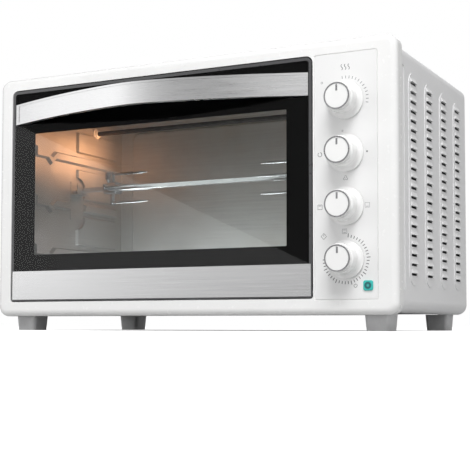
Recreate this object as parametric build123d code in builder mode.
from build123d import *
import math
import os

# Countertop rotisserie oven.  Millimetres, +Z up, front facing -Y, standing on z = 0.
# The origin is the centre of the footprint of the whole object, handle included.
# Depths are measured backwards from the front face of the frame and turned into Y by front_y.

# ---------------------------------------------------------------- driving sizes
width = 550.0              # front frame, side to side
height = 331.0             # table to the top of the front frame
body_depth = 297.0         # front face to the back edge of the casing
foot_height = 18.0
bottom_bar = 19.9          # front frame below the door
top_bar = 17.3             # front frame above the door
door_margin = 22.4         # frame edge to door, left side
control_width = 101.2      # door to frame edge, right side

# fits
sheet = 0.8                # folded sheet steel
running = 0.06             # radial, between turning pieces
press = 0.02               # radial, where a piece is pressed on
seat_fit = 0.1             # beside a piece that is held still
clear = 0.3                # between pieces that pass without touching
overcut = 1.0              # how far a cutting shape passes the surface that it cuts

# front frame
frame_depth = 20.0
frame_skin = 4.0
frame_wall = 4.0
frame_corner = 13.0
frame_edge = 8.0           # rounding of the front edge
boss_reach = 6.0           # hinge boss beyond the frame's inner wall
boss_size = 16.0
boss_depth = 8.0

# door
door_gap = 1.4
door_thickness = 18.0
door_corner_top = 7.0
door_corner_bottom = 2.5
rim_width = 3.5            # painted rim round the glass
trim_rim = 1.2             # rim beside the steel strip
trim_thickness = 1.0
trim_height = 38.8         # steel strip below the glass
trim_edge = 0.4
glass_recess = 0.2
glass_thickness = 3.8
glass_fit = 0.2
print_thickness = 0.3
window_side = 33.3         # door edge to clear window, both sides
window_bottom = 60.0
window_top = 57.0
window_corner = 1.0
window_clear_side = 14.0   # frame opening beyond the clear window
window_clear_end = 6.5

# hinge and check arms
hinge_depth = 3.6
hinge_rise = 6.0           # above the bottom edge of the door
hinge_pin_radius = 2.0
pin_outside = 8.5          # pin beyond the door's edge
pin_inside = 6.5
pin_hole_outside = 10.4
pin_hole_inside = 7.0
door_boss_reach = 10.0
door_boss_depth = 5.0
arm_radius = 45.0
arm_width = 6.0
arm_thickness = 2.0
arm_inset = 2.0            # door edge to arm
arm_low_angle = -20.0
arm_high_angle = 66.0
arm_slot_low = 33.0        # above the hinge
arm_slot_high = 49.0
arm_foot_height = 9.0
arm_foot_depth = 5.0
arm_foot_drop = 5.0        # below the arm's upper end
arm_tab_width = 7.0
arm_tab_thickness = 1.0

# door handle: a bowed steel bar whose ends meet the glass
handle_inset = 4.5         # door edge to handle end
handle_bow = 51.0          # reach of the middle in front of the glass
handle_height = 26.6
handle_drop = 17.5         # door top to handle top
handle_thickness = 7.0
handle_end_taper = 18.2    # how much sooner the back of the bow meets the glass
handle_power = 1.55        # 2 would be a plain arc; less draws the bow out to a softer peak
insert_depth = 0.6
insert_margin = 2.4
insert_end = 6.0

# control column
fascia_gap = 3.8           # door to fascia
fascia_margin = 22.8       # fascia to frame edge
fascia_below = 2.2         # fascia beyond the door's bottom edge
fascia_above = 0.2
fascia_thickness = 0.9
fascia_recess = 1.0
fascia_corner = 2.0
knob_first_share = 0.16    # place of the lowest and highest knob in the fascia's height
knob_last_share = 0.806
lens_size = 11.5
lens_corner = 2.5
lens_edge = 1.1
lens_proud = 1.8
lens_stem = 9.0
lens_stem_end = 12.0
lens_bore = 3.3
lens_cap = 1.5             # lens in front of the lamp's bore
lens_inset = 11.0          # fascia edge to lens centre
lens_rise = 15.0           # fascia bottom to lens centre
pilot_radius = 2.9
pilot_tip = 2.1            # front face to the lamp's tip
pilot_collar = 14.0        # front face to the lamp's collar
pilot_collar_radius = 3.6

# knobs
knob_radius = 21.7
knob_grip_radius = 16.9
knob_cap_radius = 15.0
knob_height = 28.0
knob_standoff = 0.6
knob_skirt = 2.6           # straight edge of the skirt, top
knob_flare = 9.5           # top of the flare from skirt to grip
waist_share = 0.29         # an even hollow curve passes here, as a share of the flare both ways
knob_lip = 22.6            # top of the grip, where it steps in to the cap
knob_step = 1.3
knob_bore_cap = 4.6        # solid knob in front of the shaft
ring_height = 1.4
ring_width = 1.4
cap_sink = 0.5             # cap face below the ring
pointer_width = 2.2
pointer_low = 5.5          # from the knob's axis
pointer_high = 12.5
pointer_proud = 0.15
shaft_radius = 3.0
shaft_reach = 14.0         # into the switch
shaft_flat = 1.2
shaft_flat_gap = 4.0       # end of the flat, in front of the frame
shaft_hole_frame = 2.0     # radial room round a shaft
shaft_hole_plate = 1.0

# switches behind the fascia: face size and depth
switch_sizes = {"timer": (52, 40), "heating": (38, 30), "rotisserie": (38, 30), "temperature": (42, 26)}
switch_corner = 4.0
tab_length = 6.0
tab_width = 5.0
tab_thickness = 1.0
tab_pitch = (10.0, 12.0)
tab_count = (3, 2)

# casing
casing_inset = 3.0         # front frame edge to casing, sides
casing_top_inset = 6.0
casing_bottom = 21.0
casing_sheet = 0.8
casing_corner = 13.0
casing_flange = 22.0       # turned in under the base
louvre_first = 67.7        # front face to the first column
louvre_column = 62.1
louvre_pitch = 11.04
louvre_low = 64.9          # lowest louvre above the table
louvre_high_gap = 39.2     # casing top to highest louvre
louvre_width = 20.0
louvre_slot = 2.8
louvre_reach = 2.0
louvre_rise = 6.0
hood_root = 0.4            # hood sunk in the channel's face
channel_width = 33.0
channel_rise = 0.8
channel_end = 12.5         # beyond the end louvres
grip_band = 17.0           # stepped band behind the front frame
grip_bottom = 26.0
grip_top = 24.0

# plates behind the front frame
plate_side = 4.0           # casing to plate edge
plate_end = 8.0            # body to plate edge, top and bottom
plate_over = 0.2           # front plate past the fascia's left edge
arm_slot_side = 1.0

# base, rear panel and what they carry
base_vent = (18.0, 4.0)
base_vent_pitch = (26.0, 40.0)
base_vent_count = (14, 4)
rear_vent = (22.0, 4.0)
rear_vent_pitch = (30.0, 16.0)
rear_vent_count = (12, 9)
gland_rise = 42.0          # casing bottom to gland
gland_bore = 4.2
gland_stem = 7.0
gland_length = 11.0        # in front of the rear panel
gland_flange = 3.0
gland_nut = 2.0
gland_nut_length = 3.0
gland_head = 3.0           # behind the rear panel
gland_chamfer = 1.0
screw_radius = 1.9
screw_head = 1.8
screw_head_radius = 3.8
cross_length = 4.4
cross_width = 0.9
cross_depth = 1.0
screw_side = 12.0          # casing edge to the rear screws
screw_low = 14.0
screw_high = 12.0
block_size = (44.0, 18.0, 16.0)    # terminal block along X, depth and height
block_gap = 48.0           # rear panel to terminal block
block_pitch = 13.0
block_screw_radius = 2.6
block_wire_radius = 2.2
block_screw_depth = 7.0
block_wire_rise = 5.0

# feet
foot_size = 31.0
foot_taper = 1.5
foot_corner = 4.5
foot_inset_front = 31.0    # frame edge to foot centre, front pair
foot_inset_rear = 35.0     # frame edge to foot centre, rear pair
foot_front = 35.0          # front face to foot centre
foot_back = 18.0           # foot centre to the back edge
foot_bore = 8.0            # depth of the screw's well
foot_well = 1.2            # radial room round the screw's head
foot_screw_past = 3.0      # screw above the base plate

# oven cavity
cavity_side = 7.6          # door edge to the inside of the side wall, inwards
cavity_back_gap = 47.0     # inside of the back wall to the back edge of the casing
cavity_floor = 46.0
cavity_roof_gap = 23.0     # front frame top to the inside of the ceiling
mouth_side = 6.0           # cavity wall to the edge of the mouth
mouth_end = 9.0
rail_reach = 5.0
rail_height = 13.0
rail_dip = 7.8             # how far the rails dip at the front
rail_front = 14.0          # front plate to rail
rail_back = 16.0           # rail to back wall
rail_pitch = 66.5
rail_first = 61.0          # cavity floor to the middle of the lowest rail
rail_mouth = 4.0           # rail flares up at its front end
rail_top_room = 20.0       # ceiling to the highest rail, at least
rail_draft = 25.0
dip_start = 26.0           # along the rail: start, lowest point and end of its dip
dip_bottom = 36.0
dip_end = 45.0
ridge_back = 118.0         # upright ridge to back wall
side_pad_gap = 5.0         # rail to side pad
side_pad_least = 12.0
side_pad_bottom = 6.0
side_pad_top = 14.0
side_pad_corner = 3.0
side_pad_draft = 30.0
pad_reach = 3.5
pad_margin = 20.0          # side wall to the raised panel on the back wall
pad_margin_end = 11.0
pad_corner = 14.0
pressing_room = 12.0       # how far a clearing reaches into the cavity
wall_pass = 3.0            # how far a hole passes a wall

# heating elements
heater_radius = 3.25
heater_roof_gap = 22.0     # element centre to ceiling
heater_floor_gap = 18.0
heater_front = 75.0
heater_back_gap = 69.0     # rear elements to the back wall
heater_end = 12.0          # element beyond the wall
heater_tab = (8.0, 4.8, 1.0)
bush_radius = 5.5
bush_flange = 2.0
bush_inside = 5.0
bush_outside = 6.0
bush_seat = 2.4

# spit, forks and drive
spit_depth = 132.0
spit_roof_gap = 111.0      # spit axis to ceiling
spit_side = 6.5
spit_chamfer = 0.6
spit_start = 1.0           # side wall to the spit's round end
journal_radius = 2.6
journal_length = 15.0
square_start = 1.5         # bracket to the square bar
fork_inset = 62.0          # side wall to fork
fork_reach = 58.0
fork_spread = 23.0
fork_plate = 2.4
fork_arm = 7.0             # width of a crossbar
hub_size = 16.0
hub_length = 20.0
hub_corner = 2.5
tine_radius = 2.0
tine_point = 12.0          # length of the point
tine_tip = 0.4
tine_inset = 3.0
screw_offset = 6.4         # fork plate to thumb screw
thumb_radius = 1.9
thumb_collar = 4.0
thumb_wing = 16.0
thumb_height = 11.0
bracket_width = 26.0
bracket_below = 42.0
bracket_above = 12.0
bracket_reach = 13.0
bracket_lip = 6.0
coupler_radius = 9.0
coupler_reach = 12.0       # coupler into the cavity
coupler_edge = 1.2
coupler_socket = 10.0
coupler_collar = 1.5       # coupler behind the wall
spit_engage = 9.0
socket_fit = 0.15
motor_size = 52.0
motor_depth = 22.0
motor_corner = 6.0
motor_can_radius = 15.0
motor_can_depth = 14.0
motor_can_offset = 8.0
motor_shaft_radius = 3.0

# lamp in the right wall
lamp_back_gap = 45.0       # lamp to back wall
lamp_roof_gap = 76.0
lamp_radius = 19.0
lamp_dome = 9.0            # glass into the cavity
lamp_dome_edge = 6.0
lamp_flange = 5.0
lamp_flange_thickness = 2.0
lamp_glass_wall = 3.0
lamp_glass_back = 6.0
lamp_crown = 7.0           # hollow of the glass into the cavity
lamp_can_depth = 34.0
lamp_can_wall = 2.0
lamp_can_floor = 3.0
lamp_socket_radius = 8.0
lamp_socket_length = 9.0
lamp_socket_floor = 2.0
lamp_bulb_radius = 8.5
lamp_bulb_centre = 9.0     # behind the wall's face
lamp_neck_radius = 5.0

# ---------------------------------------------------------------- derived places
half = width / 2
overall_depth = handle_bow + body_depth + gland_head
front_y = handle_bow - overall_depth / 2
frame_height = height - foot_height
frame_mid = foot_height + frame_height / 2

door_left = -half + door_margin
door_right = half - control_width
door_low = foot_height + bottom_bar
door_high = height - top_bar
door_width = door_right - door_left
door_height = door_high - door_low
door_centre = ((door_left + door_right) / 2, (door_low + door_high) / 2)
door_mid = door_centre[0]
door_sides = ((-1, door_left), (1, door_right))
hinge_z = door_low + hinge_rise

glass_low = door_low + trim_height
glass_front = glass_recess
glass_back = glass_recess + glass_thickness
print_back = glass_back + print_thickness
window_left = door_left + window_side
window_right = door_right - window_side
window_low = door_low + window_bottom
window_high = door_high - window_top
window_centre = ((window_left + window_right) / 2, (window_low + window_high) / 2)

fascia_left = door_right + fascia_gap
fascia_right = half - fascia_margin
fascia_low = door_low - fascia_below
fascia_high = door_high + fascia_above
fascia_width = fascia_right - fascia_left
fascia_height = fascia_high - fascia_low
fascia_centre = ((fascia_left + fascia_right) / 2, (fascia_low + fascia_high) / 2)
fascia_front = fascia_recess - fascia_thickness
knob_x = fascia_centre[0]
knob_names = ["timer", "heating", "rotisserie", "temperature"]
knob_share_pitch = (knob_last_share - knob_first_share) / (len(knob_names) - 1)
knob_heights = [fascia_low + fascia_height * (knob_first_share + knob_share_pitch * i) for i in range(4)]
knob_places = list(zip(knob_names, knob_heights))
lens_x = fascia_right - lens_inset
lens_z = fascia_low + lens_rise

casing_left = -half + casing_inset
casing_right = half - casing_inset
casing_top = height - casing_top_inset
casing_mid = (casing_top + casing_bottom) / 2
casing_width = casing_right - casing_left
casing_height = casing_top - casing_bottom
plate_low = foot_height + plate_end
plate_high = height - plate_end
plate_right = fascia_left + plate_over
base_bottom = casing_bottom + casing_sheet
base_top = base_bottom + sheet
rear_inner = body_depth - sheet
gland_x = knob_x
gland_z = casing_bottom + gland_rise

wall_left = door_left + cavity_side
wall_right = door_right - cavity_side
wall_sides = ((wall_left, 1), (wall_right, -1))    # x of each side wall and the way inwards
cavity_front = frame_depth + sheet
cavity_depth = body_depth - cavity_back_gap
cavity_roof = height - cavity_roof_gap
cavity_middle = (cavity_floor + cavity_roof) / 2
mouth_left = wall_left + mouth_side
mouth_right = wall_right - mouth_side
mouth_low = cavity_floor + mouth_end
mouth_high = cavity_roof - mouth_end
back_outer = cavity_depth + sheet

spit_height = cavity_roof - spit_roof_gap
coupler_face = wall_right - coupler_reach
motor_face = wall_right + sheet
lamp_depth = cavity_depth - lamp_back_gap
lamp_z = cavity_roof - lamp_roof_gap
shaft_end = cavity_front + shaft_reach


# ---------------------------------------------------------------- planes and plain shapes
def front_plane(depth, x=0.0, z=0.0):
    """Sketch plane facing the front: local x is X, local y is Z, and extrusions come forwards."""
    return Plane(origin=(x, front_y + depth, z), x_dir=(1, 0, 0), z_dir=(0, -1, 0))


def side_plane(x, depth=0.0, z=0.0):
    """Sketch plane facing the right: local x is depth, local y is Z, and extrusions go to +X."""
    return Plane(origin=(x, front_y + depth, z), x_dir=(0, 1, 0), z_dir=(1, 0, 0))


def top_plane(z, x=0.0, depth=0.0):
    """Sketch plane facing up: local x is X and local y is depth."""
    return Plane(origin=(x, front_y + depth, z), x_dir=(1, 0, 0), z_dir=(0, 0, 1))


def knob_plane(z, depth):
    """Half-section plane through a knob's axis: local x is the radius and local y comes forwards."""
    return Plane(origin=(knob_x, front_y + depth, z), x_dir=(1, 0, 0), z_dir=(0, 0, -1))


def block(x_ends, depths, heights, mode=Mode.ADD):
    """A box between two x, two depths and two heights, each pair in either order."""
    centre = (sum(x_ends) / 2, front_y + sum(depths) / 2, sum(heights) / 2)
    with Locations(centre):
        Box(abs(x_ends[1] - x_ends[0]), abs(depths[1] - depths[0]), abs(heights[1] - heights[0]), mode=mode)


def around(middle, size):
    """The two ends of a span of this size round a middle."""
    return (middle - size / 2, middle + size / 2)


def rod_x(x_ends, depth, z, radius, mode=Mode.ADD):
    """A round bar along X between two x, in either order."""
    with Locations((sum(x_ends) / 2, front_y + depth, z)):
        Cylinder(radius, abs(x_ends[1] - x_ends[0]), rotation=(0, 90, 0), mode=mode)


def rod_y(depths, x, z, radius, mode=Mode.ADD):
    """A round bar between two depths."""
    with Locations((x, front_y + sum(depths) / 2, z)):
        Cylinder(radius, depths[1] - depths[0], rotation=(90, 0, 0), mode=mode)


def rod_z(heights, x, depth, radius, mode=Mode.ADD):
    """An upright round bar between two heights."""
    with Locations((x, front_y + depth, sum(heights) / 2)):
        Cylinder(radius, heights[1] - heights[0], mode=mode)


def save(builder, name):
    """Labels a finished piece and writes its STEP file."""
    builder.part.label = name
    export_step(builder.part, f"parts/{name}.step")


os.makedirs("parts", exist_ok=True)


# ---------------------------------------------------------------- front frame and fascia
def door_sketch(depth, grow):
    """A sketch of the door's outline with its corners rounded, grown all round."""
    with BuildSketch(front_plane(depth)) as outline:
        with Locations(door_centre):
            Rectangle(door_width + 2 * grow, door_height + 2 * grow)
        fillet(outline.vertices().group_by(Axis.Y)[-1], door_corner_top + grow)
        fillet(outline.vertices().group_by(Axis.Y)[0], door_corner_bottom + grow)
    return outline.sketch


def shaft_holes(depths, room):
    """Cuts a hole for each knob's shaft."""
    for z in knob_heights:
        rod_y(depths, knob_x, z, shaft_radius + room, Mode.SUBTRACT)


def lens_hole(depths, room):
    """Cuts the square hole of the pilot lens's stem."""
    block(around(lens_x, lens_stem + 2 * room), depths, around(lens_z, lens_stem + 2 * room), Mode.SUBTRACT)


with BuildPart() as front_frame:
    with BuildSketch(front_plane(frame_depth)):
        with Locations((0, frame_mid)):
            RectangleRounded(width, frame_height, frame_corner)
    extrude(amount=frame_depth)
    fillet(front_frame.faces().sort_by(Axis.Y)[0].outer_wire().edges(), frame_edge)
    door_wall = 2 * (door_gap + frame_wall)
    with BuildSketch(front_plane(frame_depth)):
        with Locations((0, frame_mid)):
            RectangleRounded(width - 2 * frame_wall, frame_height - 2 * frame_wall, frame_corner - frame_wall)
        with Locations(door_centre):
            Rectangle(door_width + door_wall, door_height + door_wall, mode=Mode.SUBTRACT)
    extrude(amount=frame_depth - frame_skin, mode=Mode.SUBTRACT)
    # bosses behind the lower corners carry the hinge pins
    for side, edge in door_sides:
        inner = edge + side * (door_gap + frame_wall)
        block(
            (inner, inner + side * boss_reach), (frame_skin, frame_skin + boss_depth),
            around(hinge_z, boss_size),
        )
    extrude(door_sketch(frame_depth, door_gap), amount=frame_depth, mode=Mode.SUBTRACT)
    # the fascia sits in a recess with a sloping edge
    with BuildSketch(front_plane(fascia_recess)):
        with Locations(fascia_centre):
            RectangleRounded(fascia_width + clear, fascia_height + clear, fascia_corner)
    extrude(amount=fascia_recess, taper=-45, mode=Mode.SUBTRACT)
    shaft_holes((-overcut, frame_skin + overcut), shaft_hole_frame)
    lens_hole((-overcut, frame_skin + overcut), 2 * seat_fit)
    for side, edge in door_sides:
        rod_x(
            (edge, edge + side * pin_hole_outside), hinge_depth, hinge_z,
            hinge_pin_radius + running, Mode.SUBTRACT,
        )
save(front_frame, "front_frame")

with BuildPart() as control_fascia:
    with BuildSketch(front_plane(fascia_recess)):
        with Locations(fascia_centre):
            RectangleRounded(fascia_width - clear, fascia_height - clear, fascia_corner)
    extrude(amount=fascia_thickness)
    shaft_holes((-overcut, fascia_recess + overcut), shaft_hole_plate)
    lens_hole((-overcut, fascia_recess + overcut), seat_fit)
save(control_fascia, "control_fascia")

# ---------------------------------------------------------------- plates behind the frame
arm_places = (door_left + arm_inset, door_right - arm_inset - arm_thickness)

with BuildPart() as front_plate:
    block((casing_left + plate_side, plate_right), (frame_depth, cavity_front), (plate_low, plate_high))
    fillet(front_plate.edges().filter_by(Axis.Y).group_by(Axis.X)[0], casing_corner - plate_side / 2)
    through = (frame_depth - overcut, cavity_front + overcut)
    block((mouth_left, mouth_right), through, (mouth_low, mouth_high), Mode.SUBTRACT)
    for x in arm_places:
        block(
            (x - arm_slot_side, x + arm_thickness + arm_slot_side), through,
            (hinge_z + arm_slot_low, hinge_z + arm_slot_high), Mode.SUBTRACT,
        )
save(front_plate, "front_plate")

with BuildPart() as switch_plate:
    block(
        (plate_right + clear, casing_right - plate_side), (frame_depth, cavity_front),
        (plate_low, plate_high),
    )
    fillet(switch_plate.edges().filter_by(Axis.Y).group_by(Axis.X)[-1], casing_corner - plate_side / 2)
    shaft_holes((frame_depth - overcut, cavity_front + overcut), shaft_hole_plate)
save(switch_plate, "switch_plate")


# ---------------------------------------------------------------- casing
def louvre_depths():
    """Depth of each column of louvres that fits on the side."""
    count = int((body_depth - louvre_first - channel_width / 2) / louvre_column) + 1
    return [louvre_first + louvre_column * i for i in range(count)]


def louvre_heights():
    """Height of each louvre in a column."""
    count = round((casing_top - louvre_high_gap - louvre_low) / louvre_pitch) + 1
    return [louvre_low + louvre_pitch * i for i in range(count)]


def hood_sketch(face, side):
    """Sections of the hoods over one column's slots, drawn on a plane facing the front."""
    with BuildSketch(Plane(origin=(face, front_y, 0), x_dir=(1, 0, 0), z_dir=(0, -1, 0))) as hoods:
        for z in louvre_heights():
            lip = z + louvre_slot / 2
            with BuildLine():
                Polyline(
                    (-side * hood_root, lip), (side * louvre_reach, lip),
                    (-side * hood_root, lip + louvre_rise), close=True,
                )
            make_face()
    return hoods.sketch


def channel_slots(face, shrink):
    """The outlines of the raised channels on one side, shrunk all round."""
    low, high = louvre_heights()[0] - channel_end, louvre_heights()[-1] + channel_end
    with BuildSketch(side_plane(face)) as slots:
        with Locations(*[(depth, (low + high) / 2) for depth in louvre_depths()]):
            SlotOverall(high - low - 2 * shrink, channel_width - 2 * shrink, rotation=90)
    return slots.sketch


with BuildPart() as outer_casing:
    with BuildSketch(front_plane(body_depth)):
        with Locations((0, casing_mid)):
            RectangleRounded(casing_width, casing_height, casing_corner)
            RectangleRounded(
                casing_width - 2 * casing_sheet, casing_height - 2 * casing_sheet,
                casing_corner - casing_sheet, mode=Mode.SUBTRACT,
            )
        with Locations((0, casing_bottom)):
            Rectangle(casing_width - 2 * casing_flange, 2 * casing_corner, mode=Mode.SUBTRACT)
    extrude(amount=body_depth - frame_depth)
    for side, face in ((-1, casing_left), (1, casing_right)):
        inner = face - side * casing_sheet
        # stepped band just behind the front frame, kept one sheet thick
        low, high = casing_bottom + grip_bottom, casing_top - grip_top
        block(
            (inner, inner - side * channel_rise), (frame_depth, frame_depth + grip_band + casing_sheet),
            (low - casing_sheet, high + casing_sheet),
        )
        block(
            (face, face - side * channel_rise), (frame_depth - overcut, frame_depth + grip_band),
            (low, high), Mode.SUBTRACT,
        )
        # raised channels, kept one sheet thick
        extrude(channel_slots(face, 0), amount=side * channel_rise)
        extrude(channel_slots(inner, casing_sheet), amount=side * channel_rise, mode=Mode.SUBTRACT)
        # louvres: a hood over each slot
        hoods = hood_sketch(face + side * channel_rise, side)
        for depth in louvre_depths():
            extrude(hoods.moved(Location((0, depth + louvre_width / 2, 0))), amount=louvre_width)
        with BuildSketch(side_plane(face - side * channel_width / 2)):
            with Locations(*[(depth, z) for depth in louvre_depths() for z in louvre_heights()]):
                Rectangle(louvre_width, louvre_slot)
        extrude(amount=side * channel_width, mode=Mode.SUBTRACT)
save(outer_casing, "outer_casing")

# ---------------------------------------------------------------- base, feet and back
foot_places = [
    (side * (half - inset), depth)
    for inset, depth in ((foot_inset_front, foot_front), (foot_inset_rear, body_depth - foot_back))
    for side in (-1, 1)
]

with BuildPart() as base_plate:
    block(
        (casing_left + casing_corner, casing_right - casing_corner),
        (cavity_front + clear, rear_inner - clear), (base_bottom, base_top),
    )
    with BuildSketch(top_plane(base_bottom - overcut)):
        with Locations((door_mid, body_depth / 2)):
            with GridLocations(*base_vent_pitch, *base_vent_count):
                SlotOverall(*base_vent)
    extrude(amount=sheet + 2 * overcut, mode=Mode.SUBTRACT)
    for x, depth in foot_places:
        rod_z((base_bottom - overcut, base_top + overcut), x, depth, screw_radius + seat_fit, Mode.SUBTRACT)
save(base_plate, "base_plate")

with BuildPart() as feet:
    for x, depth in foot_places:
        with BuildSketch(top_plane(0, x, depth)):
            RectangleRounded(foot_size - 2 * foot_taper, foot_size - 2 * foot_taper, foot_corner)
        with BuildSketch(top_plane(casing_bottom, x, depth)):
            RectangleRounded(foot_size, foot_size, foot_corner)
        loft()
    for x, depth in foot_places:
        rod_z((-overcut, foot_bore), x, depth, screw_head_radius + foot_well, Mode.SUBTRACT)
        rod_z((-overcut, casing_bottom + overcut), x, depth, screw_radius + seat_fit, Mode.SUBTRACT)
        # clear of the front frame's lower bar
        block(
            around(x, 2 * foot_size), (-foot_size, frame_depth + clear),
            (foot_height - clear, casing_bottom + overcut), Mode.SUBTRACT,
        )
save(feet, "feet")

with BuildPart() as foot_screws:
    for x, depth in foot_places:
        rod_z((foot_bore - screw_head, foot_bore), x, depth, screw_head_radius)
        rod_z((foot_bore, base_top + foot_screw_past), x, depth, screw_radius)
save(foot_screws, "foot_screws")

with BuildPart() as rear_panel:
    inset = casing_sheet + clear
    with BuildSketch(front_plane(body_depth)):
        with Locations((0, casing_mid)):
            RectangleRounded(casing_width - 2 * inset, casing_height - 2 * inset, casing_corner - inset)
    extrude(amount=sheet)
    with BuildSketch(front_plane(body_depth + overcut)):
        with Locations((door_mid, casing_mid)):
            with GridLocations(*rear_vent_pitch, *rear_vent_count):
                SlotOverall(*rear_vent)
    extrude(amount=sheet + 2 * overcut, mode=Mode.SUBTRACT)
    through = (rear_inner - overcut, body_depth + overcut)
    rod_y(through, gland_x, gland_z, gland_stem + seat_fit, Mode.SUBTRACT)
save(rear_panel, "rear_panel")

screw_spots = [
    (x, z)
    for x in (casing_left + screw_side, -half / 3, half / 3, casing_right - screw_side)
    for z in (casing_bottom + screw_low, casing_top - screw_high)
]
with BuildPart() as rear_screws:
    for x, z in screw_spots:
        rod_y((body_depth, body_depth + screw_head), x, z, screw_head_radius)
    with BuildSketch(front_plane(body_depth + screw_head)):
        with Locations(*screw_spots):
            Rectangle(cross_length, cross_width)
            Rectangle(cross_width, cross_length)
    extrude(amount=cross_depth, mode=Mode.SUBTRACT)
save(rear_screws, "rear_screws")

with BuildPart() as cord_gland:
    rod_y((rear_inner - gland_length, body_depth), gland_x, gland_z, gland_stem)
    rod_y((body_depth, body_depth + gland_head), gland_x, gland_z, gland_stem + gland_flange)
    rod_y((rear_inner - gland_nut_length, rear_inner), gland_x, gland_z, gland_stem + gland_nut)
    chamfer(cord_gland.faces().sort_by(Axis.Y)[-1].outer_wire().edges(), gland_chamfer)
    bore_ends = (rear_inner - gland_length - overcut, body_depth + gland_head + overcut)
    rod_y(bore_ends, gland_x, gland_z, gland_bore, Mode.SUBTRACT)
save(cord_gland, "cord_gland")

with BuildPart() as terminal_block:
    length, deep, tall = block_size
    block_middle = rear_inner - block_gap - deep / 2
    block(around(gland_x, length), around(block_middle, deep), (base_top, base_top + tall))
    for x in (gland_x - block_pitch, gland_x, gland_x + block_pitch):
        rod_z(
            (base_top + tall - block_screw_depth, base_top + tall + overcut), x, block_middle,
            block_screw_radius, Mode.SUBTRACT,
        )
        rod_y(around(block_middle, 2 * deep), x, base_top + block_wire_rise, block_wire_radius, Mode.SUBTRACT)
save(terminal_block, "terminal_block")


# ---------------------------------------------------------------- oven cavity
def rail_heights():
    """Heights of the rack rails that fit below the ceiling."""
    count = int((cavity_roof - cavity_floor - rail_first - rail_top_room) / rail_pitch) + 1
    return [cavity_floor + rail_first + rail_pitch * i for i in range(count)]


rail_start = cavity_front + rail_front
rail_end = cavity_depth - rail_back
ridge_start = cavity_depth - ridge_back


def press_rail(x, inward, z):
    """Adds one pressed rack rail, which flares at its front end and dips behind it."""
    high, low = z + rail_height / 2, z - rail_height / 2
    with BuildSketch(side_plane(x)) as rail:
        with BuildLine():
            Polyline(
                (rail_start, high + rail_mouth), (rail_start + dip_bottom, high - rail_dip),
                (rail_start + dip_end, high), (rail_end, high), (rail_end, low),
                (rail_start + dip_end, low), (rail_start + dip_bottom, low - rail_dip),
                (rail_start + dip_start, low), (rail_start, low), close=True,
            )
        make_face()
    extrude(rail.sketch, amount=inward * rail_reach, taper=rail_draft)


def press_side_pads(x, inward):
    """Adds the stiffening pads between the rails, behind an upright ridge."""
    levels = rail_heights()
    lows = [cavity_floor - side_pad_bottom] + levels
    highs = levels + [cavity_roof - side_pad_top]
    margin = rail_height / 2 + side_pad_gap
    for low, high in zip(lows, highs):
        pad_height = high - low - 2 * margin
        if pad_height > side_pad_least:
            with BuildSketch(side_plane(x, (ridge_start + rail_end) / 2, (low + high) / 2)) as pad:
                RectangleRounded(rail_end - ridge_start, pad_height, side_pad_corner)
            extrude(pad.sketch, amount=inward * pad_reach, taper=side_pad_draft)


def side_wall(x, inward, holes, clearings):
    """A cavity side wall with pressed rack rails and pads; inward is +1 where the oven lies to +X.

    Holes go right through; clearings only flatten the pressings. Both are (depth, z, radius).
    """
    with BuildPart() as wall:
        block((x, x - inward * sheet), (cavity_front, cavity_depth), (cavity_floor, cavity_roof))
        for z in rail_heights():
            press_rail(x, inward, z)
        press_side_pads(x, inward)
        for depth, z, radius in clearings:
            rod_x((x, x + inward * pressing_room), depth, z, radius, Mode.SUBTRACT)
        for depth, z, radius in holes:
            rod_x((x - wall_pass, x + wall_pass), depth, z, radius, Mode.SUBTRACT)
    return wall


def heater_places():
    """Depth and height of each heating element, by name."""
    low, high = cavity_floor + heater_floor_gap, cavity_roof - heater_roof_gap
    rear = cavity_depth - heater_back_gap
    return {
        "upper_heater_front": (heater_front, high),
        "upper_heater_rear": (rear, high),
        "lower_heater_front": (heater_front, low),
        "lower_heater_rear": (rear, low),
    }


bush_holes = [(depth, z, bush_radius + seat_fit) for depth, z in heater_places().values()]
bush_seats = [(depth, z, bush_radius + bush_seat) for depth, z in heater_places().values()]
bracket_flat = bracket_width / 2 + bracket_lip
bracket_seat = [(spit_depth, spit_height - bracket_below * k, bracket_flat) for k in (0, 0.45, 0.86)]
left_wall = side_wall(wall_left, 1, bush_holes, bush_seats + bracket_seat)
save(left_wall, "cavity_left_wall")

drive_hole = [(spit_depth, spit_height, coupler_radius + overcut)]
drive_seat = [(spit_depth, spit_height, 2 * coupler_radius)]
lamp_hole = [(lamp_depth, lamp_z, lamp_radius + clear)]
lamp_seat = [(lamp_depth, lamp_z, lamp_radius + lamp_flange + lamp_flange_thickness)]
right_wall = side_wall(
    wall_right, -1, bush_holes + drive_hole + lamp_hole, bush_seats + drive_seat + lamp_seat,
)
save(right_wall, "cavity_right_wall")


def back_pad(depth, shrink):
    """Outline of the raised panel on the back wall."""
    with BuildSketch(front_plane(depth)) as pad:
        with Locations((door_mid, cavity_middle)):
            RectangleRounded(
                wall_right - wall_left - 2 * pad_margin - shrink,
                cavity_roof - cavity_floor - 2 * pad_margin_end - shrink,
                pad_corner - shrink / 2,
            )
    return pad.sketch


with BuildPart() as back_wall:
    block(
        (wall_left - sheet, wall_right + sheet), (cavity_depth, back_outer),
        (cavity_floor - sheet, cavity_roof + sheet),
    )
    extrude(back_pad(cavity_depth, 0), amount=pad_reach, taper=45)
    extrude(back_pad(back_outer, sheet), amount=pad_reach, taper=45, mode=Mode.SUBTRACT)
save(back_wall, "cavity_back_wall")

for name, start in (("cavity_floor", cavity_floor - sheet), ("cavity_ceiling", cavity_roof)):
    with BuildPart() as cavity_sheet:
        block(
            (wall_left - sheet, wall_right + sheet), (cavity_front, cavity_depth), (start, start + sheet),
        )
    save(cavity_sheet, name)

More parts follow.
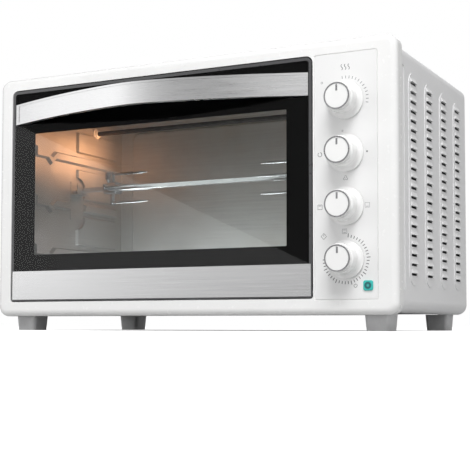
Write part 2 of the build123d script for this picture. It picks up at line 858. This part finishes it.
# ---------------------------------------------------------------- heating elements
tab_length_x, tab_deep, tab_tall = heater_tab
for name, (depth, z) in heater_places().items():
    with BuildPart() as heater:
        rod_x((wall_left - heater_end, wall_right + heater_end), depth, z, heater_radius)
        for x, inward in wall_sides:
            end = x - inward * heater_end
            block((end, end - inward * tab_length_x), around(depth, tab_deep), around(z, tab_tall))
    save(heater, name)

with BuildPart() as heater_bushes:
    for depth, z in heater_places().values():
        for x, inward in wall_sides:
            rod_x((x + inward * bush_inside, x - inward * bush_outside), depth, z, bush_radius)
            rod_x((x, x + inward * bush_flange), depth, z, bush_radius + bush_flange)
    for depth, z in heater_places().values():
        rod_x(
            (wall_left - heater_end, wall_right + heater_end), depth, z, heater_radius + seat_fit / 2,
            Mode.SUBTRACT,
        )
save(heater_bushes, "heater_bushes")

# ---------------------------------------------------------------- spit and its drive
bracket_front = wall_left + bracket_reach
spit_start_x = wall_left + spit_start
journal_slot = 2 * (journal_radius + seat_fit)

with BuildPart() as spit_bracket:
    bracket_depths = around(spit_depth, bracket_width)
    shelf = spit_height - bracket_lip
    block(
        (wall_left, wall_left + sheet), bracket_depths,
        (spit_height - bracket_below, spit_height + bracket_above),
    )
    block((wall_left, bracket_front), bracket_depths, (shelf - sheet, shelf))
    block((bracket_front - 2 * sheet, bracket_front), bracket_depths, (shelf, spit_height + bracket_lip))
    with BuildSketch(side_plane(wall_left - overcut)):
        with Locations((spit_depth, spit_height + bracket_above)):
            Rectangle(journal_slot, 2 * bracket_above)
        with Locations((spit_depth, spit_height)):
            Circle(journal_slot / 2)
    extrude(amount=bracket_reach + 2 * overcut, mode=Mode.SUBTRACT)
save(spit_bracket, "spit_bracket")

with BuildPart() as spit_rod:
    rod_x((spit_start_x, spit_start_x + journal_length), spit_depth, spit_height, journal_radius)
    block(
        (bracket_front + square_start, coupler_face + spit_engage),
        around(spit_depth, spit_side), around(spit_height, spit_side),
    )
    chamfer(spit_rod.edges().filter_by(Axis.X).filter_by(GeomType.LINE), spit_chamfer)
save(spit_rod, "spit_rod")

with BuildPart() as drive_coupler:
    collar_end = motor_face + coupler_collar
    rod_x((coupler_face, collar_end), spit_depth, spit_height, coupler_radius)
    fillet(drive_coupler.faces().sort_by(Axis.X)[0].edges(), coupler_edge)
    socket_side = spit_side + 2 * socket_fit
    block(
        (coupler_face - overcut, coupler_face + coupler_socket),
        around(spit_depth, socket_side), around(spit_height, socket_side), Mode.SUBTRACT,
    )
    rod_x((collar_end, motor_face + motor_depth - motor_corner), spit_depth, spit_height, motor_shaft_radius)
save(drive_coupler, "drive_coupler")

with BuildPart() as rotisserie_motor:
    gearbox_end = motor_face + motor_depth
    block((motor_face, gearbox_end), around(spit_depth, motor_size), around(spit_height, motor_size))
    fillet(rotisserie_motor.edges().filter_by(Axis.X), motor_corner)
    rod_x(
        (gearbox_end, gearbox_end + motor_can_depth), spit_depth + motor_can_offset, spit_height,
        motor_can_radius,
    )
    rod_x(
        (motor_face - overcut, motor_face + coupler_collar + overcut), spit_depth, spit_height,
        coupler_radius + seat_fit + clear, Mode.SUBTRACT,
    )
    rod_x(
        (motor_face - overcut, gearbox_end - motor_corner + overcut), spit_depth, spit_height,
        motor_shaft_radius + running, Mode.SUBTRACT,
    )
save(rotisserie_motor, "rotisserie_motor")


def tine(x, inward, dy, dz):
    """Adds one round tine with a pointed end."""
    offset = fork_spread - tine_inset
    y, z = front_y + spit_depth + dy * offset, spit_height + dz * offset
    shoulder_x, tip_x = x + inward * (fork_reach - tine_point), x + inward * fork_reach
    with BuildSketch(Plane(origin=(x, y, z), x_dir=(0, 1, 0), z_dir=(inward, 0, 0))) as root:
        Circle(tine_radius)
    extrude(root.sketch, amount=fork_reach - tine_point)
    with BuildSketch(Plane(origin=(shoulder_x, y, z), x_dir=(0, 1, 0), z_dir=(inward, 0, 0))) as base:
        Circle(tine_radius)
    with BuildSketch(Plane(origin=(tip_x, y, z), x_dir=(0, 1, 0), z_dir=(inward, 0, 0))) as tip:
        Circle(tine_tip)
    loft([base.sketch, tip.sketch])


def fork(x, inward):
    """A meat fork: a hub on the square rod, a crossbar each way and four tines pointing along inward."""
    with BuildPart() as made:
        block(around(x, hub_length), around(spit_depth, hub_size), around(spit_height, hub_size))
        fillet(made.edges().filter_by(Axis.X), hub_corner)
        for across, upright in ((2 * fork_spread, fork_arm), (fork_arm, 2 * fork_spread)):
            block(around(x, fork_plate), around(spit_depth, across), around(spit_height, upright))
        for dy, dz in ((1, 0), (-1, 0), (0, 1), (0, -1)):
            tine(x, inward, dy, dz)
        bore = spit_side + 2 * seat_fit
        block(
            around(x, hub_length + 2 * overcut), around(spit_depth, bore), around(spit_height, bore),
            Mode.SUBTRACT,
        )
        rod_z(
            (spit_height, spit_height + hub_size / 2 + overcut), x - inward * screw_offset, spit_depth,
            thumb_radius + seat_fit, Mode.SUBTRACT,
        )
    return made


fork_left_x = wall_left + fork_inset
fork_right_x = wall_right - fork_inset
save(fork(fork_left_x, 1), "fork_left")
save(fork(fork_right_x, -1), "fork_right")

with BuildPart() as fork_screws:
    collar_low = spit_height + hub_size / 2 + screw_head - clear
    collar_high = collar_low + fork_plate
    for x, inward in ((fork_left_x, 1), (fork_right_x, -1)):
        screw_x = x - inward * screw_offset
        stem = (spit_height + spit_side / 2 + seat_fit, collar_high + overcut)
        rod_z(stem, screw_x, spit_depth, thumb_radius)
        rod_z((collar_low, collar_high), screw_x, spit_depth, thumb_collar)
        block(
            around(screw_x, fork_plate), around(spit_depth, thumb_wing),
            (collar_high, collar_high + thumb_height),
        )
    fillet(fork_screws.edges().filter_by(Axis.X).group_by(Axis.Z)[-1], thumb_collar)
save(fork_screws, "fork_screws")

# ---------------------------------------------------------------- lamp in the right wall
with BuildPart() as lamp_glass:
    rod_x((wall_right - lamp_flange_thickness, wall_right), lamp_depth, lamp_z, lamp_radius + lamp_flange)
    rod_x((wall_right - lamp_dome, wall_right + lamp_glass_back), lamp_depth, lamp_z, lamp_radius)
    fillet(lamp_glass.faces().sort_by(Axis.X)[0].edges(), lamp_dome_edge)
    hollow_ends = (wall_right - lamp_crown, wall_right + lamp_glass_back + overcut)
    rod_x(hollow_ends, lamp_depth, lamp_z, lamp_radius - lamp_glass_wall, Mode.SUBTRACT)
save(lamp_glass, "lamp_glass")

can_end = wall_right + lamp_can_depth
can_inner = can_end - lamp_can_floor
bulb_end = can_inner - lamp_socket_floor

with BuildPart() as lamp_holder:
    can_radius = lamp_radius + lamp_can_wall / 2
    rod_x((wall_right + sheet, can_end), lamp_depth, lamp_z, can_radius + lamp_can_wall)
    rod_x((wall_right, can_inner), lamp_depth, lamp_z, can_radius, Mode.SUBTRACT)
    rod_x((can_inner - lamp_socket_length, can_inner), lamp_depth, lamp_z, lamp_socket_radius)
    rod_x(
        (can_inner - lamp_socket_length - overcut, bulb_end), lamp_depth, lamp_z,
        lamp_neck_radius + seat_fit, Mode.SUBTRACT,
    )
save(lamp_holder, "lamp_holder")

with BuildPart() as lamp_bulb:
    bulb_tip = lamp_bulb_centre - lamp_bulb_radius
    neck_start = lamp_bulb_centre + math.sqrt(lamp_bulb_radius**2 - lamp_neck_radius**2)
    neck_end = bulb_end - wall_right
    with BuildSketch(front_plane(lamp_depth, wall_right, lamp_z)):
        with BuildLine():
            ThreePointArc(
                (bulb_tip, 0), (lamp_bulb_centre, lamp_bulb_radius), (neck_start, lamp_neck_radius),
            )
            Polyline(
                (neck_start, lamp_neck_radius), (neck_end, lamp_neck_radius), (neck_end, 0), (bulb_tip, 0),
            )
        make_face()
    revolve(axis=Axis((wall_right, front_y + lamp_depth, lamp_z), (1, 0, 0)))
save(lamp_bulb, "lamp_bulb")

# ---------------------------------------------------------------- controls behind the fascia
switch_names = {
    "timer": "timer_body", "heating": "heating_switch",
    "rotisserie": "rotisserie_switch", "temperature": "thermostat",
}
for name, z in knob_places:
    face_size, deep = switch_sizes[name]
    with BuildPart() as control:
        block(around(knob_x, face_size), (cavity_front, cavity_front + deep), around(z, face_size))
        fillet(control.edges().filter_by(Axis.Y), switch_corner)
        with BuildSketch(front_plane(cavity_front + deep + tab_length)):
            with Locations((knob_x, z)):
                with GridLocations(*tab_pitch, *tab_count):
                    Rectangle(tab_width, tab_thickness)
        extrude(amount=tab_length)
        rod_y((cavity_front - overcut, shaft_end + clear), knob_x, z, shaft_radius + running, Mode.SUBTRACT)
    save(control, switch_names[name])

with BuildPart() as pilot_lens:
    with BuildSketch(front_plane(fascia_front)):
        with Locations((lens_x, lens_z)):
            RectangleRounded(lens_size, lens_size, lens_corner)
    extrude(amount=lens_proud)
    fillet(pilot_lens.faces().sort_by(Axis.Y)[0].edges(), lens_edge)
    block(around(lens_x, lens_stem), (fascia_front, lens_stem_end), around(lens_z, lens_stem))
    rod_y((fascia_front + lens_cap, lens_stem_end + overcut), lens_x, lens_z, lens_bore, Mode.SUBTRACT)
save(pilot_lens, "pilot_lens")

with BuildPart() as pilot_lamp:
    round_end = pilot_tip + pilot_radius
    bend = pilot_radius * math.sqrt(0.5)
    with BuildSketch(Plane(origin=(lens_x, front_y, lens_z), x_dir=(1, 0, 0), z_dir=(0, 0, -1))):
        with BuildLine():
            ThreePointArc((0, -pilot_tip), (bend, bend - round_end), (pilot_radius, -round_end))
            Polyline(
                (pilot_radius, -round_end), (pilot_radius, -pilot_collar),
                (pilot_collar_radius, -pilot_collar), (pilot_collar_radius, -frame_depth),
                (0, -frame_depth), (0, -pilot_tip),
            )
        make_face()
    revolve(axis=Axis((lens_x, front_y, lens_z), (0, 1, 0)))
save(pilot_lamp, "pilot_lamp")

# ---------------------------------------------------------------- knobs
ring_seat = knob_height - ring_height      # heights above the fascia
cap_face = knob_height - cap_sink
shaft_tip = ring_seat - knob_bore_cap
ring_inner = knob_cap_radius - ring_width


def knob_section():
    """Half section of a knob body as (radius, height above the fascia)."""
    bore = shaft_radius + press
    flare_width, flare_height = knob_radius - knob_grip_radius, knob_flare - knob_skirt
    knob_waist = (knob_grip_radius + flare_width * waist_share, knob_skirt + flare_height * waist_share)
    with BuildLine() as section:
        Polyline((bore, knob_standoff), (knob_radius, knob_standoff), (knob_radius, knob_skirt))
        ThreePointArc((knob_radius, knob_skirt), knob_waist, (knob_grip_radius, knob_flare))
        Polyline(
            (knob_grip_radius, knob_flare), (knob_grip_radius, knob_lip - knob_step),
            (knob_grip_radius - knob_step, knob_lip), (knob_cap_radius, knob_lip),
            (knob_cap_radius, ring_seat), (ring_inner - press, ring_seat), (ring_inner - press, cap_face),
            (0, cap_face), (0, shaft_tip), (bore, shaft_tip), (bore, knob_standoff),
        )
    return section.line


def pointer_groove(z, fit):
    """X ends, depths and heights of the pointer's bar, larger all round by fit."""
    front = fascia_front - cap_face
    return (
        around(knob_x, pointer_width + 2 * fit), (front - pointer_proud - fit, front + cap_sink),
        (z + pointer_low - fit, z + pointer_high + fit),
    )


for name, z in knob_places:
    with BuildPart() as knob:
        with BuildSketch(knob_plane(z, fascia_front)):
            add(knob_section())
            make_face()
        revolve(axis=Axis((knob_x, front_y + fascia_front, z), (0, -1, 0)))
        block(*pointer_groove(z, press), Mode.SUBTRACT)
    save(knob, f"knob_{name}")
    with BuildPart() as trim:
        with BuildSketch(front_plane(fascia_front - ring_seat)):
            with Locations((knob_x, z)):
                Circle(knob_cap_radius)
                Circle(ring_inner, mode=Mode.SUBTRACT)
        extrude(amount=ring_height)
        block(*pointer_groove(z, 0))
    save(trim, f"knob_{name}_trim")
    with BuildPart() as shaft:
        tip = fascia_front - shaft_tip + 2 * seat_fit
        rod_y((tip, shaft_end), knob_x, z, shaft_radius)
        block(
            around(knob_x, 2 * shaft_radius + overcut), (tip - overcut, -shaft_flat_gap),
            (z - shaft_radius - overcut, z - shaft_radius + shaft_flat), Mode.SUBTRACT,
        )
    save(shaft, f"{name}_shaft")


# ---------------------------------------------------------------- door
def glass_sketch(depth, shrink):
    """The glass's outline with rounded top corners, shrunk by a fitting gap all round."""
    top, low = door_high - rim_width - shrink, glass_low + shrink
    with BuildSketch(front_plane(depth)) as outline:
        with Locations((door_mid, (top + low) / 2)):
            Rectangle(door_width - 2 * (rim_width + shrink), top - low)
        fillet(outline.vertices().group_by(Axis.Y)[-1], door_corner_top - rim_width)
    return outline.sketch


opening_x = (window_left - window_clear_side, window_right + window_clear_side)
opening_z = (window_low - window_clear_end, window_high + window_clear_end)
opening_x_grown = (opening_x[0] - sheet, opening_x[1] + sheet)
opening_z_grown = (opening_z[0] - sheet, opening_z[1] + sheet)

with BuildPart() as door_frame:
    extrude(door_sketch(door_thickness, 0), amount=door_thickness)
    # pocket for the glass and the wider pocket for the steel strip
    extrude(glass_sketch(print_back, 0), amount=print_back, mode=Mode.SUBTRACT)
    block(
        (door_left + trim_rim, door_right - trim_rim), (-overcut, trim_thickness),
        (door_low + trim_rim, glass_low), Mode.SUBTRACT,
    )
    # hollow behind the front flange, open at the back, with a folded wall round the window
    hollow = door_thickness - print_back - sheet
    extrude(door_sketch(door_thickness, -sheet), amount=hollow, mode=Mode.SUBTRACT)
    block(opening_x_grown, (print_back + sheet, door_thickness - sheet), opening_z_grown)
    block(opening_x, (-overcut, door_thickness + overcut), opening_z, Mode.SUBTRACT)
    # bosses for the hinge pins
    boss_front = print_back - clear
    for side, edge in door_sides:
        block(
            (edge, edge - side * door_boss_reach), (boss_front, boss_front + door_boss_depth),
            (door_low + sheet / 2, hinge_z + hinge_rise),
        )
        rod_x(
            (edge, edge - side * pin_hole_inside), hinge_depth, hinge_z, hinge_pin_radius + press,
            Mode.SUBTRACT,
        )
save(door_frame, "door_frame")

with BuildPart() as door_inner_panel:
    inset = sheet + glass_fit
    block(
        (door_left + inset, door_right - inset), (door_thickness - sheet, door_thickness),
        (door_low + inset, door_high - inset),
    )
    fillet(door_inner_panel.edges().filter_by(Axis.Y), door_corner_top - sheet)
    block(opening_x, (door_thickness - 2 * sheet, door_thickness + overcut), opening_z, Mode.SUBTRACT)
save(door_inner_panel, "door_inner_panel")

with BuildPart() as door_glass:
    extrude(glass_sketch(glass_back, glass_fit), amount=glass_thickness)
save(door_glass, "door_glass")

with BuildPart() as door_glass_print:
    extrude(glass_sketch(print_back, glass_fit), amount=print_thickness)
    with BuildSketch(front_plane(print_back + overcut)):
        with Locations(window_centre):
            RectangleRounded(window_right - window_left, window_high - window_low, window_corner)
    extrude(amount=print_thickness + 2 * overcut, mode=Mode.SUBTRACT)
save(door_glass_print, "door_glass_print")

with BuildPart() as door_trim:
    inset = trim_rim + seat_fit
    block(
        (door_left + inset, door_right - inset), (0, trim_thickness),
        (door_low + inset, glass_low - seat_fit),
    )
    fillet(door_trim.faces().sort_by(Axis.Y)[0].edges(), trim_edge)
save(door_trim, "door_bottom_trim")

with BuildPart() as hinge_pins:
    for side, edge in door_sides:
        rod_x((edge + side * pin_outside, edge - side * pin_inside), hinge_depth, hinge_z, hinge_pin_radius)
save(hinge_pins, "hinge_pins")


def arm_point(radius, degrees):
    """A point on a check arm, from the hinge axis."""
    angle = math.radians(degrees)
    return (radius * math.cos(angle), radius * math.sin(angle))


# curved check arms, centred on the hinge, that carry the door springs and stop the door
with BuildPart() as door_arms:
    arm_inner, arm_outer = arm_radius - arm_width / 2, arm_radius + arm_width / 2
    angles = (arm_low_angle, (arm_low_angle + arm_high_angle) / 2, arm_high_angle)
    foot_low = hinge_z + arm_point(arm_radius, arm_high_angle)[1] - arm_foot_drop
    foot_heights = (foot_low, foot_low + arm_foot_height)
    for x, inward in zip(arm_places, (1, -1)):
        with BuildSketch(side_plane(x, hinge_depth, hinge_z)):
            with BuildLine():
                ThreePointArc(*[arm_point(arm_inner, a) for a in angles])
                Line(arm_point(arm_inner, angles[-1]), arm_point(arm_outer, angles[-1]))
                ThreePointArc(*[arm_point(arm_outer, a) for a in angles])
                Line(arm_point(arm_outer, angles[0]), arm_point(arm_inner, angles[0]))
            make_face()
        extrude(amount=arm_thickness)
        block((x, x + arm_thickness), (door_thickness, door_thickness + arm_foot_depth), foot_heights)
        outside = x if inward > 0 else x + arm_thickness
        block(
            (outside, outside + inward * (arm_tab_width + arm_thickness)),
            (door_thickness, door_thickness + arm_tab_thickness), foot_heights,
        )
save(door_arms, "door_check_arms")

# ---------------------------------------------------------------- handle
handle_left = door_left + handle_inset
handle_right = door_right - handle_inset
handle_low = door_high - handle_drop - handle_height
handle_length = handle_right - handle_left
handle_reach = handle_bow + glass_front
handle_spans = 8


def front_bow(end, back):
    """Points along the handle's front, between two ends inset by end, and back from it by a small depth."""
    step = (handle_length - 2 * end) / handle_spans
    distances = [end + step * i for i in range(handle_spans + 1)]
    rises = [1 - abs(2 * d / handle_length - 1) ** handle_power for d in distances]
    return [
        (handle_left + d, glass_front + back - handle_reach * rise) for d, rise in zip(distances, rises)
    ]


def back_bow():
    """Points along the handle's back: a shorter and shallower bow."""
    start, length = handle_left + handle_end_taper, handle_length - 2 * handle_end_taper
    reach = handle_reach - handle_thickness
    fractions = [i / handle_spans for i in range(handle_spans + 1)]
    rises = [1 - abs(2 * t - 1) ** handle_power for t in fractions]
    return [(start + length * t, glass_front - reach * rise) for t, rise in zip(fractions, rises)]


# drawn in plan as a bow between its two ends on the glass, then extruded upwards
with BuildPart() as handle_bar:
    with BuildSketch(top_plane(handle_low)):
        with BuildLine():
            front_line, back_line = front_bow(0, 0), back_bow()
            Spline(*front_line)
            Line(front_line[-1], back_line[-1])
            Spline(*back_line)
            Line(back_line[0], front_line[0])
        make_face()
    extrude(amount=handle_height)
    with BuildSketch(top_plane(handle_low + insert_margin)):
        with BuildLine():
            sunk = front_bow(insert_end, insert_depth)
            ahead = -2 * handle_bow
            Spline(*sunk)
            Polyline(sunk[-1], (sunk[-1][0], ahead), (sunk[0][0], ahead), sunk[0])
        make_face()
    extrude(amount=handle_height - 2 * insert_margin, mode=Mode.SUBTRACT)
save(handle_bar, "handle_bar")
